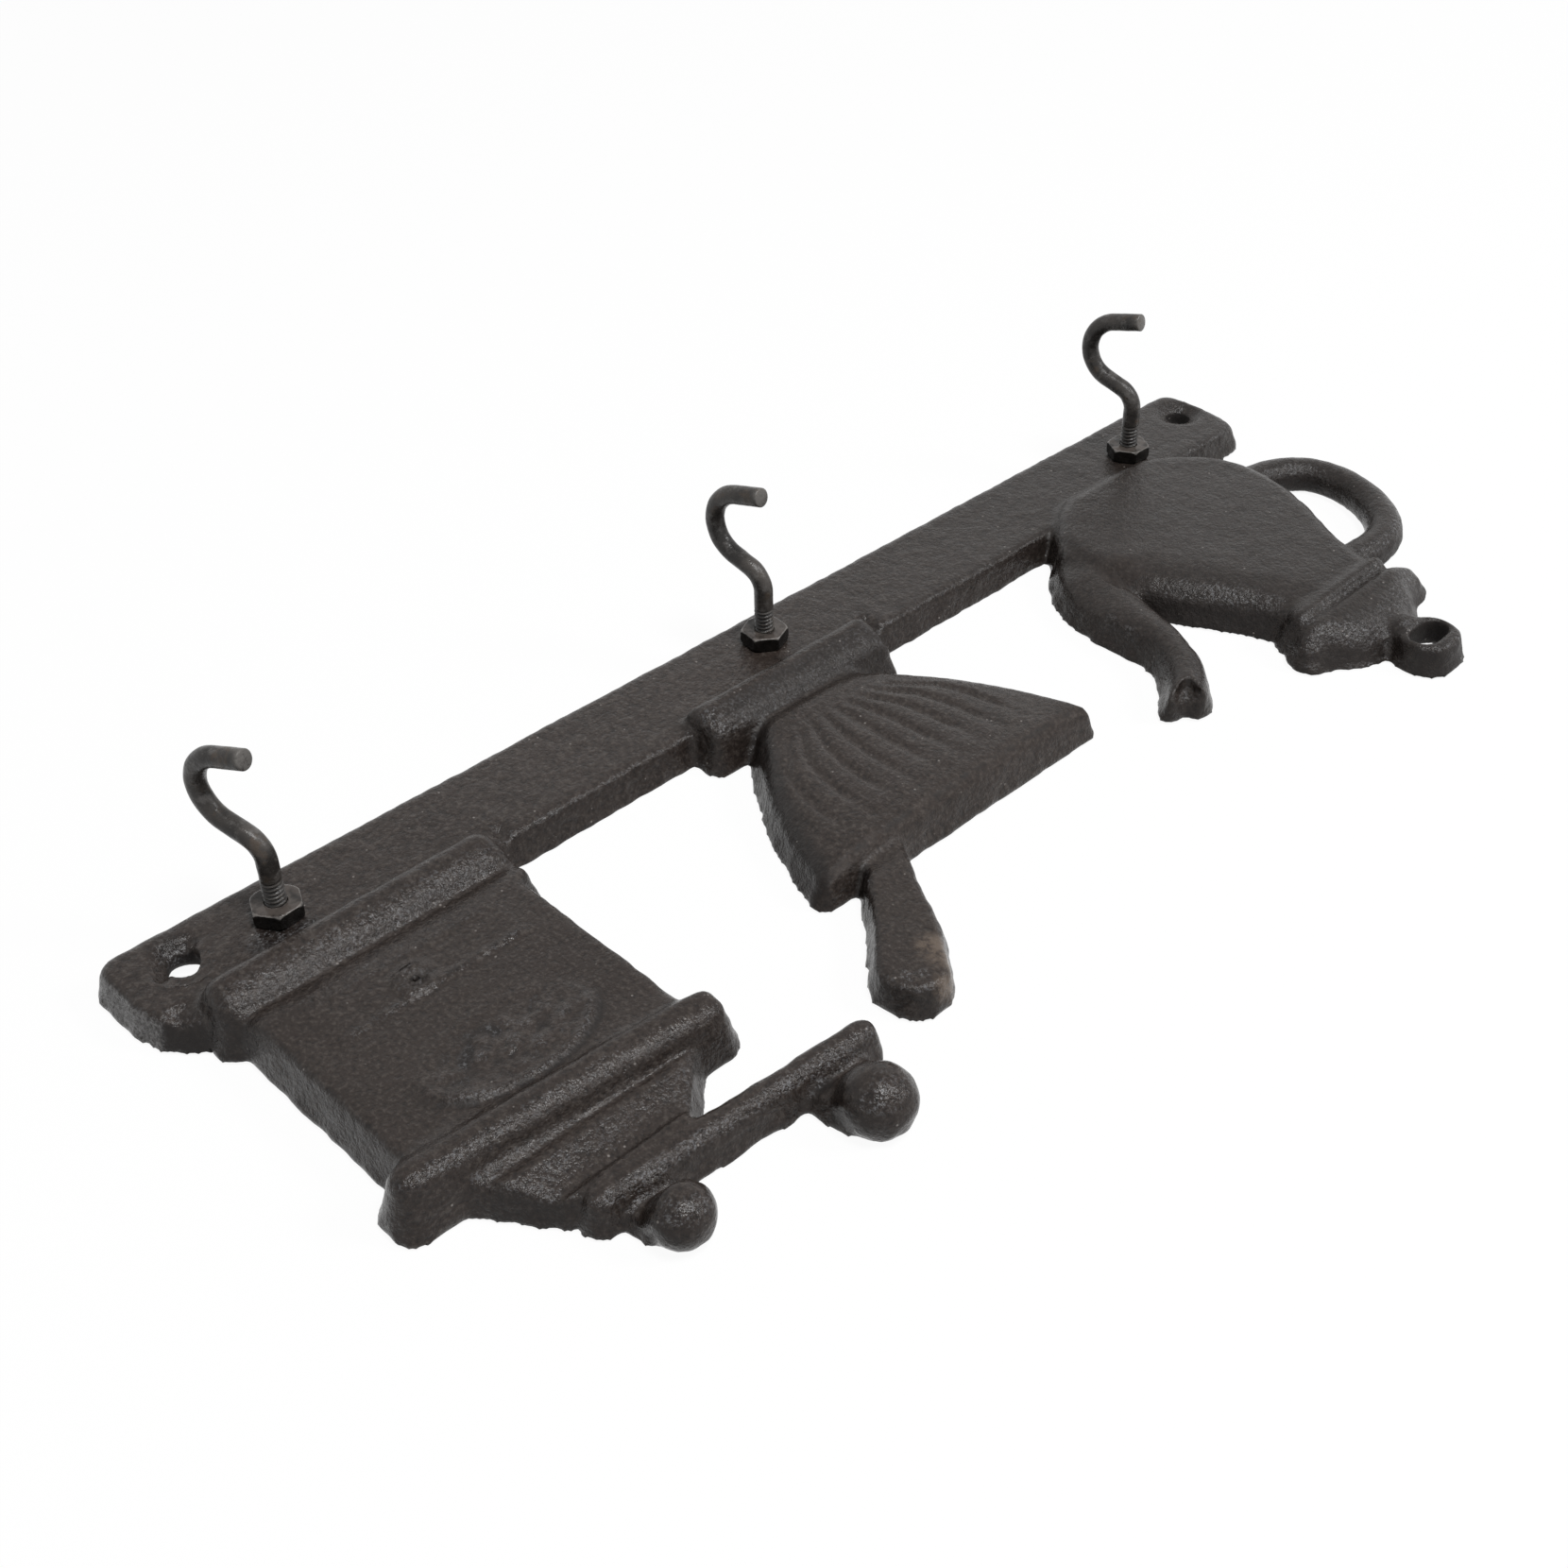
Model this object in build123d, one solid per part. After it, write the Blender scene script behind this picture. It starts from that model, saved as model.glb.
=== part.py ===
# Cast iron wall rail with three screwed wire hooks and kitchen silhouettes above the rail.
# Wall frame: the back is the plane y = 0, the front faces -Y, +Z is up on the wall.
# The origin lies on the back, midway between the two screw holes. The shapes are drawn
# about the middle of the rail, and moved to the origin at the end.
import os
from math import atan2, cos, degrees, radians, sin, tan

from build123d import *

# Wall screw holes
screw_middle = (-1.8, -2.1)
screw_spacing = 250.0
screw_hole = 5.8
screw_dish = 10.8
screw_dish_depth = 2.4
screw_back = 9.6
screw_back_depth = 2.0

# Casting: the rail runs past the screw holes by a margin at each end
draft = 14.0
rail_margin_left = 7.2
rail_margin_right = 12.2
rail_left = screw_middle[0] - screw_spacing / 2 - rail_margin_left
rail_right = screw_middle[0] + screw_spacing / 2 + rail_margin_right
rail_bottom = -11.4
rail_top = 11.9
rail_corner = 4.5
rail_upper_corner = 9.5
rail_thickness = 6.0
edge_round = 1.2
block_corner = 3.0
embed = 0.2
behind = 0.6

# Hooks: places on the rail, and turns about the stem
hook_names = ("right", "middle", "left")
hook_places = ((107.1, -0.1), (0.2, -1.6), (-103.6, 2.0))
hook_turns = (18.8, 7.9, 9.6)
wire = 3.5
thread = 3.6
thread_end = 13.0
wire_lap = 1.0
stem_inset = 0.6
stem_reach = 16.8
upper_bend = 4.5
upper_angle = 69.9
slope_length = 4.0
lower_bend = 6.6
lower_angle = 146.4
tip_length = 6.1
thread_clearance = 0.05

# Lock nuts
nut_flats = 7.9
nut_height = 2.9
nut_chamfer = 0.5
nut_turns = (5.0, 23.0, 0.0)

# Coffee grinder
grinder_x = 100.0
grinder_height = 8.0
grinder_width = 51.4
grinder_top = 62.0
bead_height = 10.0
bead_width = 13.0
bead_z = 12.4
bead_round = 3.4
base_length = 57.4
base_corner = 5.0
plinth_x = 98.4
plinth_length = 53.6
plinth_top = 23.0
cornice_x = 100.1
cornice_length = 60.2
cornice_corner = 4.6
cornice_lean = -4.2
cornice_width = 10.4
cornice_z = 62.2
cornice_round = 2.3
drawer_bottom = 21.2
drawer_top = 30.2
drawer_width = 34.5
drawer_corner = 1.0
relief = 0.5
knob_radius = 2.7
knob_x = 101.0
knob_z = 27.4
badge_z = 49.1
badge_length = 30.0
badge_width = 16.6
badge_rim = 1.5
hopper_height = 6.6
hopper_x = 99.4
hopper_foot = 49.4
hopper_mouth = 22.4
hopper_top = 78.0
crank_left = 59.8
crank_right = 107.4
crank_left_z = 81.7
crank_right_z = 78.8
crank_width = 7.0
crank_height = 6.2
handle_ball = 5.7
handle_ball_x = 67.4
handle_ball_z = 92.3
handle_neck_foot = 13.8
handle_neck_top = 10.5
top_ball = 4.8
top_ball_x = 101.0
top_ball_z = 88.1
top_neck_x = 101.6
top_neck_z = 84.0
top_neck = 5.0
ball_lift = 4.0

# Mortar and pestle
mortar_x = 7.3
mortar_height = 8.0
mortar_round = 2.8
foot_x = 6.3
foot_length = 48.0
foot_z = 12.0
bowl_foot = 14.0
bowl_foot_half = 11.2
bowl_rim = 56.6
bowl_rim_half = 35.8
bowl_mid_half = 26.3
bowl_mid_z = 33.3
bowl_corner = 2.8
flute_count = 9
flute_reach = 0.82
flute_start = 22.0
flute_start_half = 15.0
flute_end = 46.0
flute_end_half = 33.0
flute_width = 1.0
flute_depth = 0.5
pestle_height = 5.6
pestle_root_x = 26.4
pestle_root_z = 53.6
pestle_root_half = 4.6
pestle_end_x = 44.6
pestle_end_z = 78.3
pestle_end_half = 6.3

# Teapot
teapot_x = -88.7
teapot_height = 8.5
teapot_round = 3.8
pot_outline = ((12.0, 4.4), (21.2, 10.0), (27.6, 19.0), (28.7, 27.0), (26.6, 36.5), (21.8, 47.0),
               (17.2, 55.5), (14.6, 66.0))
lid_x = -87.9
collar_z = 65.0
collar_length = 32.0
collar_width = 7.6
collar_round = 0.8
lid_z = 70.0
lid_length = 39.0
lid_width = 8.0
lid_height = 7.6
lid_top = 80.3
dome_inset = 1.5
ring_x = -90.1
ring_z = 84.2
ring_length = 14.6
ring_width = 13.2
ring_corner = 5.9
ring_foot_length = 8.0
ring_foot_width = 7.0
ring_hole_z = 83.8
ring_hole_length = 9.0
ring_hole_width = 5.6
ring_height = 6.0
handle_path = ((-111.0, 25.4), (-122.5, 25.8), (-128.6, 30.4), (-130.3, 38.0), (-128.2, 46.0), (-124.2, 52.1),
               (-118.8, 56.2), (-111.0, 57.5), (-103.0, 56.9))
handle_radius = 3.8
handle_lift = 2.3
spout_height = 7.0
spout_mouth = 2.3
spout_mouth_depth = 1.3

# Spout from root to tip: place, half width and heading
spout_stations = ((-71.6, 18.6, 7.6, 43.0), (-60.9, 27.8, 8.0, 56.0), (-56.0, 40.0, 6.6, 77.0),
                  (-54.5, 49.0, 5.2, 70.0), (-50.3, 57.4, 4.9, 48.0), (-42.4, 64.0, 4.6, 52.0))


def drafted(outline, height, top_round=0.0):
    solid = extrude(Plane.XZ * outline, amount=height, taper=draft)
    if top_round:
        solid = fillet(solid.faces().sort_by(Axis.Y)[0].edges(), top_round)
    return solid


def block(x, z, length, width, corner=block_corner):
    return Pos(x, z) * RectangleRounded(length, width, corner)


def across(x, z, depth):
    return Pos(x, -depth, z) * Rot(X=90)


def screw_cutter(x):
    z = screw_middle[1]
    hole = across(x, z, rail_thickness / 2) * Cylinder(screw_hole / 2, 2 * rail_thickness)
    dish = Cone(screw_hole / 2, screw_dish / 2, screw_dish_depth)
    back = Cone(screw_back / 2, screw_hole / 2, screw_back_depth)
    hole += across(x, z, rail_thickness - screw_dish_depth / 2) * dish
    return hole + across(x, z, screw_back_depth / 2) * back


def rail():
    middle = Pos((rail_left + rail_right) / 2, (rail_top + rail_bottom) / 2)
    outline = middle * Rectangle(rail_right - rail_left, rail_top - rail_bottom)
    outline = fillet(outline.vertices().group_by(Axis.Y)[0], rail_corner)
    outline = fillet(outline.vertices().group_by(Axis.Y)[-1], rail_upper_corner)
    return drafted(outline, rail_thickness, edge_round)


def grinder_box():
    middle = (bead_z + grinder_top) / 2
    body = drafted(block(grinder_x, middle, grinder_width, grinder_top - bead_z), grinder_height)
    base = drafted(block(grinder_x, bead_z, base_length, bead_width, base_corner), bead_height, bead_round)
    plinth_middle = (bead_z + plinth_top) / 2
    plinth = drafted(block(plinth_x, plinth_middle, plinth_length, plinth_top - bead_z), grinder_height)
    beam = block(0, 0, cornice_length, cornice_width, cornice_corner)
    beam = Pos(cornice_x, cornice_z) * Rot(Z=cornice_lean) * beam
    return body + base + plinth + drafted(beam, bead_height, cornice_round)


def grinder_relief():
    face = Plane.XZ.offset(grinder_height - embed)
    drawer_z = (drawer_bottom + drawer_top) / 2
    drawer = face * block(grinder_x, drawer_z, drawer_width, drawer_top - drawer_bottom, drawer_corner)
    badge = Ellipse(badge_length / 2, badge_width / 2)
    badge -= Ellipse(badge_length / 2 - badge_rim, badge_width / 2 - badge_rim)
    rim = face * Pos(grinder_x, badge_z) * badge
    knob = across(knob_x, knob_z, grinder_height - behind) * Sphere(knob_radius)
    return extrude(drawer, relief + embed) + extrude(rim, relief + embed) + knob


def in_front(solid):
    box = solid.bounding_box()
    front = Pos(box.center().X, -box.size.Y, box.center().Z)
    return solid & front * Box(2 * box.size.X, 2 * box.size.Y, 2 * box.size.Z)


def ball(x, z, radius):
    return in_front(across(x, z, ball_lift) * Sphere(radius))


def grinder_crank():
    foot_half = hopper_foot / 2
    mouth_half = hopper_mouth / 2
    rise = hopper_top - cornice_z
    hopper = Polygon((-foot_half, 0), (foot_half, 0), (mouth_half, rise), (-mouth_half, rise), align=None)
    hopper = Pos(hopper_x, cornice_z) * Rot(Z=cornice_lean) * hopper
    bar = SlotCenterToCenter(crank_right - crank_left, crank_width)
    angle = degrees(atan2(crank_right_z - crank_left_z, crank_right - crank_left))
    bar = Pos((crank_left + crank_right) / 2, (crank_left_z + crank_right_z) / 2) * Rot(Z=angle) * bar
    neck = Polygon((-handle_neck_foot / 2, crank_left_z), (handle_neck_foot / 2, crank_left_z),
                   (handle_neck_top / 2, handle_ball_z), (-handle_neck_top / 2, handle_ball_z), align=None)
    parts = drafted(hopper, hopper_height, edge_round)
    parts += drafted(bar, crank_height, edge_round)
    parts += drafted(Pos(handle_ball_x, 0) * neck, ball_lift)
    parts += drafted(Pos(top_neck_x, top_neck_z) * Circle(top_neck), ball_lift)
    return parts + ball(handle_ball_x, handle_ball_z, handle_ball) + ball(top_ball_x, top_ball_z, top_ball)


def bowl_outline():
    side = ThreePointArc((bowl_foot_half, bowl_foot), (bowl_mid_half, bowl_mid_z), (bowl_rim_half, bowl_rim))
    other = mirror(side, about=Plane.YZ)
    rim = Line(side @ 1, other @ 1)
    foot = Line(other @ 0, side @ 0)
    outline = make_face(side + rim + other + foot)
    return fillet(outline.vertices().group_by(Axis.Y)[-1], bowl_corner)


def flute(share):
    height = flute_end - flute_start
    points = []
    for step in (0.0, 0.33, 0.66, 1.0):
        half = flute_start_half + (flute_end_half - flute_start_half) * sin(radians(90 * step))
        points.append((share * half, flute_start + height * step))
    return trace(Spline(*points), flute_width)


def mortar():
    bowl = drafted(Pos(mortar_x, 0) * bowl_outline(), mortar_height, mortar_round)
    groove = Plane.XZ.offset(mortar_height - flute_depth) * Pos(mortar_x, 0)
    for number in range(flute_count):
        share = flute_reach * (2 * number / (flute_count - 1) - 1)
        bowl -= extrude(groove * flute(share), 2 * flute_depth)
    foot = drafted(block(foot_x, foot_z, foot_length, bead_width), bead_height, bead_round)
    return bowl + foot + pestle()


def bar_section(x, z, half, heading, height):
    top = half - height * tan(radians(draft))
    outline = Polygon((-half, 0), (half, 0), (top, height), (-top, height), align=None)
    outline = fillet(outline.vertices().group_by(Axis.Y)[-1], edge_round)
    along = (cos(radians(heading)), 0, sin(radians(heading)))
    return Plane(origin=(x, 0, z), x_dir=(-along[2], 0, along[0]), z_dir=along) * outline


def pestle():
    heading = degrees(atan2(pestle_end_z - pestle_root_z, pestle_end_x - pestle_root_x))
    root = bar_section(pestle_root_x, pestle_root_z, pestle_root_half, heading, pestle_height)
    end = bar_section(pestle_end_x, pestle_end_z, pestle_end_half, heading, pestle_height)
    cap = drafted(Pos(pestle_end_x, pestle_end_z) * Circle(pestle_end_half), pestle_height, edge_round)
    return loft([root, end]) + cap


def pot_body():
    right = Spline(*[(x, z) for x, z in pot_outline])
    left = Spline(*[(-x, z) for x, z in pot_outline])
    neck = Line(right @ 1, left @ 1)
    bottom = Line(left @ 0, right @ 0)
    return drafted(Pos(teapot_x, 0) * make_face(right + neck + left + bottom), teapot_height, teapot_round)


def lid():
    collar = drafted(block(lid_x, collar_z, collar_length, collar_width), teapot_height, collar_round)
    rim = drafted(block(lid_x, lid_z, lid_length, lid_width), lid_height, collar_round)
    left = (dome_inset - lid_length / 2, lid_z)
    right = (lid_length / 2 - dome_inset, lid_z)
    dome = make_face(ThreePointArc(left, (0, lid_top), right) + Line(right, left))
    return collar + rim + drafted(Pos(lid_x, 0) * dome, lid_height)


def finial():
    neck = drafted(block(ring_x, lid_top, ring_foot_length, ring_foot_width), ring_height)
    ring = drafted(block(ring_x, ring_z, ring_length, ring_width, ring_corner), ring_height)
    hole = Plane.XZ * Pos(ring_x, ring_hole_z) * SlotOverall(ring_hole_length, ring_hole_width)
    return neck + ring - extrude(hole, ring_height)


def pot_handle():
    path = Spline(*[(x, -handle_lift, z) for x, z in handle_path])
    rod = sweep(Plane(origin=path @ 0, z_dir=path % 0) * Circle(handle_radius), path=path)
    return in_front(rod)


def spout():
    x, z, half, heading = spout_stations[-1]
    bar = loft([bar_section(*station, spout_height) for station in spout_stations])
    return bar - Pos(x, spout_mouth_depth - spout_height, z) * Sphere(spout_mouth)


def teapot():
    return pot_body() + lid() + finial() + pot_handle() + spout()


def casting():
    body = rail() + grinder_box() + grinder_relief() + grinder_crank() + mortar() + teapot()
    for side in (-1, 1):
        body -= screw_cutter(screw_middle[0] + side * screw_spacing / 2)
    for x, z in hook_places:
        body -= across(x, z, rail_thickness / 2) * Cylinder(thread / 2 + thread_clearance, 2 * rail_thickness)
    return body


def hook(place, turn):
    x, z = place
    stem = across(0, 0, (stem_inset + thread_end) / 2) * Cylinder(thread / 2, thread_end - stem_inset)
    reach = Line((0, thread_end - wire_lap), (0, stem_reach))
    bend = JernArc(reach @ 1, reach % 1, upper_bend, -upper_angle)
    slope = PolarLine(bend @ 1, slope_length, direction=bend % 1)
    crook = JernArc(slope @ 1, slope % 1, lower_bend, lower_angle)
    tip = PolarLine(crook @ 1, tip_length, direction=crook % 1)
    side = Plane(origin=(0, 0, 0), x_dir=(0, 0, -1), z_dir=(-1, 0, 0))
    path = side * Wire([reach, bend, slope, crook, tip])
    bar = sweep(Plane(origin=path @ 0, z_dir=path % 0) * Circle(wire / 2), path=path)
    return Pos(x, 0, z) * Rot(Y=-turn) * (stem + bar)


def nut(place, turn):
    x, z = place
    hexagon = Rot(Z=turn) * RegularPolygon(nut_flats / 2, 6, major_radius=False)
    body = extrude(Plane.XZ.offset(rail_thickness) * hexagon, nut_height)
    middle = across(0, 0, rail_thickness + nut_height / 2)
    blank = middle * Cylinder(nut_flats / 2 / cos(radians(30)), nut_height)
    body &= chamfer(blank.edges().filter_by(GeomType.CIRCLE), nut_chamfer)
    body -= middle * Cylinder(thread / 2 + thread_clearance, 2 * nut_height)
    return Pos(x, 0, z) * body


os.makedirs("parts", exist_ok=True)
to_wall = Pos(-screw_middle[0], 0, -screw_middle[1])
export_step(to_wall * casting(), "parts/casting.step")
for name, place, hook_turn, nut_turn in zip(hook_names, hook_places, hook_turns, nut_turns):
    export_step(to_wall * hook(place, hook_turn), f"parts/hook_{name}.step")
    export_step(to_wall * nut(place, nut_turn), f"parts/nut_{name}.step")
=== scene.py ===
# Looks of a cast iron wall rail: a rough black casting, threaded wire hooks and gloss lock nuts.
# Sizes and places are millimetres in the part's own frame: +X along the rail towards the grinder,
# -Y out from the wall and +Z up the wall. Finished meshes and the studio are in metres.
import math
from types import SimpleNamespace

import bmesh
import bpy
import numpy as np
from mathutils import Matrix, Vector, noise


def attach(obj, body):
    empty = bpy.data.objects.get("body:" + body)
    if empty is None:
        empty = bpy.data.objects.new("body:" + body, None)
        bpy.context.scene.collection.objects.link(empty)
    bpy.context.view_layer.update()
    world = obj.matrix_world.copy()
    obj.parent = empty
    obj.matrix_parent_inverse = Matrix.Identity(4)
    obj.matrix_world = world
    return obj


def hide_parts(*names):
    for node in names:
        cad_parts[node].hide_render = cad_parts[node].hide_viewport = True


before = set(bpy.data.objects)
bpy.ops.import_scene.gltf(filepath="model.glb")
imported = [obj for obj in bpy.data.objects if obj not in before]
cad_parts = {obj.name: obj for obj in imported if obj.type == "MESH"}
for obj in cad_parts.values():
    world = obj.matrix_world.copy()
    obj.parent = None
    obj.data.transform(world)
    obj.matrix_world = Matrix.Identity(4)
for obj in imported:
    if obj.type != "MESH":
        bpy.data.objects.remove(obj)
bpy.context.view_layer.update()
MM = 0.001
SIDES = ("right", "middle", "left")

# Each hook: its place along the rail and up the wall, and how far its plane leans, in degrees
HOOKS = {"right": (108.9, 2.0, 18.8), "middle": (2.0, 0.5, 7.9), "left": (-101.8, 4.1, 9.6)}

# Mesh size of the skins, and the rounds of smoothing that soften their edges
CASTING_VOXEL, NUT_VOXEL = 0.695, 0.2
EDGE_ROUNDS = 3

# Keeps a division off zero, and joins points of a CAD mesh that fall together, in metres
TINY, MERGE = 1e-6, 1e-6

# Faces of the casting's forms, as distances out from the wall. The mouldings are the grinder's base bead
# and cornice and the mortar's foot.
RAIL_FACE, PANEL_FACE, MOULDING_FACE = 6.0, 8.0, 10.0
HOPPER_FACE, CRANK_FACE, KNOB_BASE = 6.6, 6.2, 8.2
BOWL_FACE, POT_FACE, LID_FACE, SPOUT_FACE = 8.0, 8.5, 7.6, 7.0

# Points in front of this lie on the silhouettes, not on the rail
RAISED_Y = -6.8

# How far worn forms fall below their faces
BOWL_FALL, BOWL_NEAR_FALL = 1.5, 2.2
HOPPER_FALL, CORNICE_FALL, CRANK_FALL = 2.2, 1.3, 1.0
BEAD_FALL, BEAD_END_FALL = 1.9, 2.4
FOOT_FALL, FOOT_END_FALL = 2.2, 2.0
POT_FALL, SPOUT_FALL = 2.7, 3.0

# The rail: screw holes, the lean of the right one's edge along x and z, and the rounds of the upper corners,
# the right one with its wear as (angle, push)
HOLE_X = 125.0
HOLE_LEAN = (1.2, 3.0)
RAIL_ENDS = ((137.2, 1), (-132.2, -1))
CORNER_IN, CORNER_UP = 9.5, 4.5
WORN_CORNER = ((0, 0.0), (15, -0.04), (25, -0.028), (34.8, 0.02), (50, 0.019), (62, 0.07), (74, 0.13),
               (82, 0.06), (90, 0.0))

# The mortar: its bowl as (height, half width), its flutes as (height, gap), how far its foot is cut back,
# and the pestle's line with its swells as (size, place along the line, width)
BOWL_X = 9.1
BOWL_HALF = ((16.1, 11.2), (35.4, 26.3), (58.7, 35.8))
FLUTE_X = 9.7
FLUTE_GAPS = ((25.0, 2.6), (28.0, 3.2), (30.0, 3.75), (34.0, 4.7), (40.0, 5.25), (46.0, 5.5), (60.0, 5.7))
FLUTE_LOBE, FLUTE_GROOVE = 0.20, 0.66
FOOT_CUT = 1.5
PESTLE_START, PESTLE_WAY = (28.2, 55.7), (0.593, 0.805)
PESTLE_SWELLS = ((1.2, 20.0, 7.0), (0.9, 29.0, 6.0))

# The teapot: its body as (height, half width), its spout as (x, z, half width), its lid and ring
POT_X = -86.9
POT_HALF = ((6.5, 12.0), (12.1, 21.2), (21.1, 27.6), (29.1, 28.7), (38.6, 26.6), (49.1, 21.8), (57.6, 17.2),
            (68.1, 14.6))
SPOUT = ((-69.8, 20.7, 7.6), (-59.1, 29.9, 8.0), (-54.2, 42.1, 6.6), (-52.7, 51.1, 5.2), (-48.5, 59.5, 4.9),
         (-40.6, 66.1, 4.6))
SPOUT_WAY = (0.767, 0.641)
LID_X = -86.1
LID_EDGE = ((0.0, 82.4), (5.0, 81.8), (10.0, 79.9), (12.0, 78.6), (14.0, 77.0), (15.0, 76.1), (20.0, 76.0))
LID_REACH, COLLAR_CUT = 3.4, 1.7
RING_X, RING_Z = -88.3, 86.3
RING_WIDEN, RING_LOWER = 0.02, 0.13

# The grinder: its badge, its drawer's knob as drawn and as worn, and the crank's balls with their radii
GRINDER_X, PANEL_X = 68.0, 102.0
BADGE_X, BADGE_Z = 101.5, 51.4
KNOB_X, KNOB_Z = 102.8, 29.5
WORN_KNOB_X, WORN_KNOB_Z = 103.7, 31.4
DRAWER_RAISE, KNOB_SHIFT = 1.9, 0.9
CRANK_BALLS = ((102.8, 90.2, 4.8), (69.2, 94.4, 5.7))
BALL_SWELL = 0.06

# Boxes seen from the front: (low, high, fade) along the rail and up the wall
BEAD = ((71, 133, 1.0), (9.0, 20.5, 0.5))
CORNICE = ((70, 134, 1.0), (59.5, 69.6, 0.4))
CORNICE_WALL = ((70, 134, 1.0), (60.0, 70.0, 0.6))
CRANK = ((60, 110, 1.5), (78.6, 87.4, 0.5))
FOOT = ((-17.0, 33.5, 0.8), (8.0, 20.5, 0.5))
FOOT_FAR_END = ((-20, 0, 0.5), (14.6, 22.0, 0.6))
FOOT_SLOPE = ((-17.0, 33.0, 1.0), (11.0, 20.5, 0.8))
BOWL_SIDES = ((-30, 48, 2.0), (18, 60, 1.0))
LID_FAR_END = ((-112, -90, 0.5), (67.8, 80.0, 1.4))
COLLAR_FAR_END = ((-109, -90, 0.5), (62.6, 66.2, 1.0))

# Marked spots as (x, y, z, radius): bare rusty patches, glossy smears, spots with painted glints (the rail's
# smears among them, which are also darkened), corners with painted shade, calm skin without painted glints
# and with light painted shade, the crank's balls and soft corners
PESTLE_WEAR = ((41.1, -5.4, 79.4, 3.3), (42.4, -4.0, 82.2, 2.8), (43.6, -2.0, 84.0, 3.0),
               (45.4, -3.6, 85.0, 2.4))
SMEARS = ((112.5, -6.0, 6.6, 4.2), (107.0, -6.0, 7.0, 2.6), (125.2, -4.6, -4.2, 3.4), (2.0, -6.0, 0.5, 5.0),
          (-101.8, -6.0, 4.1, 5.0), (108.9, -6.0, 2.0, 5.2), (27.5, -8.5, 16.0, 4.0), (37.5, -5.0, 60.0, 3.6),
          (43.0, -4.0, 59.0, 3.0))
RAIL_SMEAR_SPOTS = ((113.0, -6.0, 6.8, 4.2), (107.5, -6.0, 7.6, 2.4), (125.0, -4.6, -3.6, 3.2))
PAINTED_GLINT_SPOTS = RAIL_SMEAR_SPOTS + ((37.5, -4.5, 60.0, 2.6), (105.0, -8.2, 91.0, 1.8), (69.4, -9.0, 96.2, 2.4),
                          (49.0, -5.6, 80.8, 1.5), (51.4, -5.6, 79.0, 1.2), (46.8, -5.6, 82.4, 1.2),
                          (-49.8, -5.0, 41.5, 2.0), (-49.0, -5.0, 46.0, 2.0))
PAINTED_SHADE_SPOTS = ((72.4, -2.0, 86.8, 3.0), (117.5, -4.0, 67.3, 2.0))
QUIET = ((-62.5, -6.5, 33.6, 5.0),)
BALLS = ((102.8, -4.5, 90.2, 6.2), (69.2, -4.5, 94.4, 7.2))
SOFT_CORNERS = ((43.5, -5.0, 57.0, 7.0), (131.0, -3.0, 13.8, 4.5))

# Hook wire, in the hook's own plane: distance out from the wall, and drop below the stem
WIRE, WIRE_UNEVEN = 1.75, 0.05
STEM_START, STEM_REACH = 0.6, 16.8
UPPER_BEND, UPPER_ANGLE = 4.5, math.radians(69.9)
SLOPE = 4.0
LOWER_BEND, LOWER_ANGLE = 6.6, math.radians(146.4)
TIP = 6.1
THREAD_R, THREAD_PITCH, THREAD_DEPTH = 1.8, 0.8, 0.36
THREAD_END, THREAD_FADE, THREAD_CREST = 13.8, 1.2, 1.35
BARE_TIP = (1.0, 0.2)

# Rows of points along the wire, close together as far as FINE_END, and points round it
THREAD_STEP, FINE_END, PLAIN_START, PLAIN_STEPS = 0.08, 14.4, 14.5, 6
BEND_STEPS, RUN_STEPS, AROUND = 28, 8, 40
TIP_RINGS = ((WIRE - 0.10, 0.12), (WIRE - 0.32, 0.2))

# Paint colours, as linear red, green, blue and alpha
IRON_DARK, IRON_WARM = (0.0266, 0.0196, 0.0164, 1), (0.0338, 0.0255, 0.0217, 1)
IRON_GRAIN, IRON_PORE = (0.070, 0.0578, 0.0505, 1), (0.0105, 0.0084, 0.0075, 1)
# Painted shade: on shaded walls, corners and hollows, and in the dark pits among the painted glints
IRON_SHADE, IRON_PIT_SHADE = (0.0095, 0.0082, 0.0078, 1), (0.0085, 0.0072, 0.0068, 1)
# Painted glints, painted light on the rail's end wall, and specks of dust
IRON_GLINT, IRON_END_LIGHT, IRON_DUST = (0.140, 0.139, 0.144, 1), (0.190, 0.184, 0.182, 1), (0.36, 0.33, 0.31, 1)
RUST_DARK, RUST_PALE = (0.100, 0.071, 0.052, 1), (0.185, 0.146, 0.116, 1)
WIRE_DARK, WIRE_GREY = (0.022, 0.0195, 0.0180, 1), (0.062, 0.055, 0.050, 1)
# Lighter streaks, partly random tone and partly painted reflection, and the bare steel of the tip
WIRE_STREAK_SHEEN, WIRE_BARE = (0.130, 0.122, 0.116, 1), (0.17, 0.16, 0.15, 1)
# Rust, and painted shade in the thread's valleys
WIRE_RUST, WIRE_GROOVE_SHADE = (0.075, 0.055, 0.040, 1), (0.004, 0.0036, 0.0034, 1)
NUT_DARK, NUT_BLACK = (0.0055, 0.0048, 0.0044, 1), (0.014, 0.0122, 0.0110, 1)
# Painted light on the nuts' top faces and a painted highlight on their rims
NUT_LIT_TOP, NUT_RIM_HIGHLIGHT = (0.078, 0.066, 0.059, 1), (0.26, 0.24, 0.225, 1)
PAPER, WHITE = (0.55, 0.55, 0.55, 1), (1, 1, 1, 1)

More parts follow.
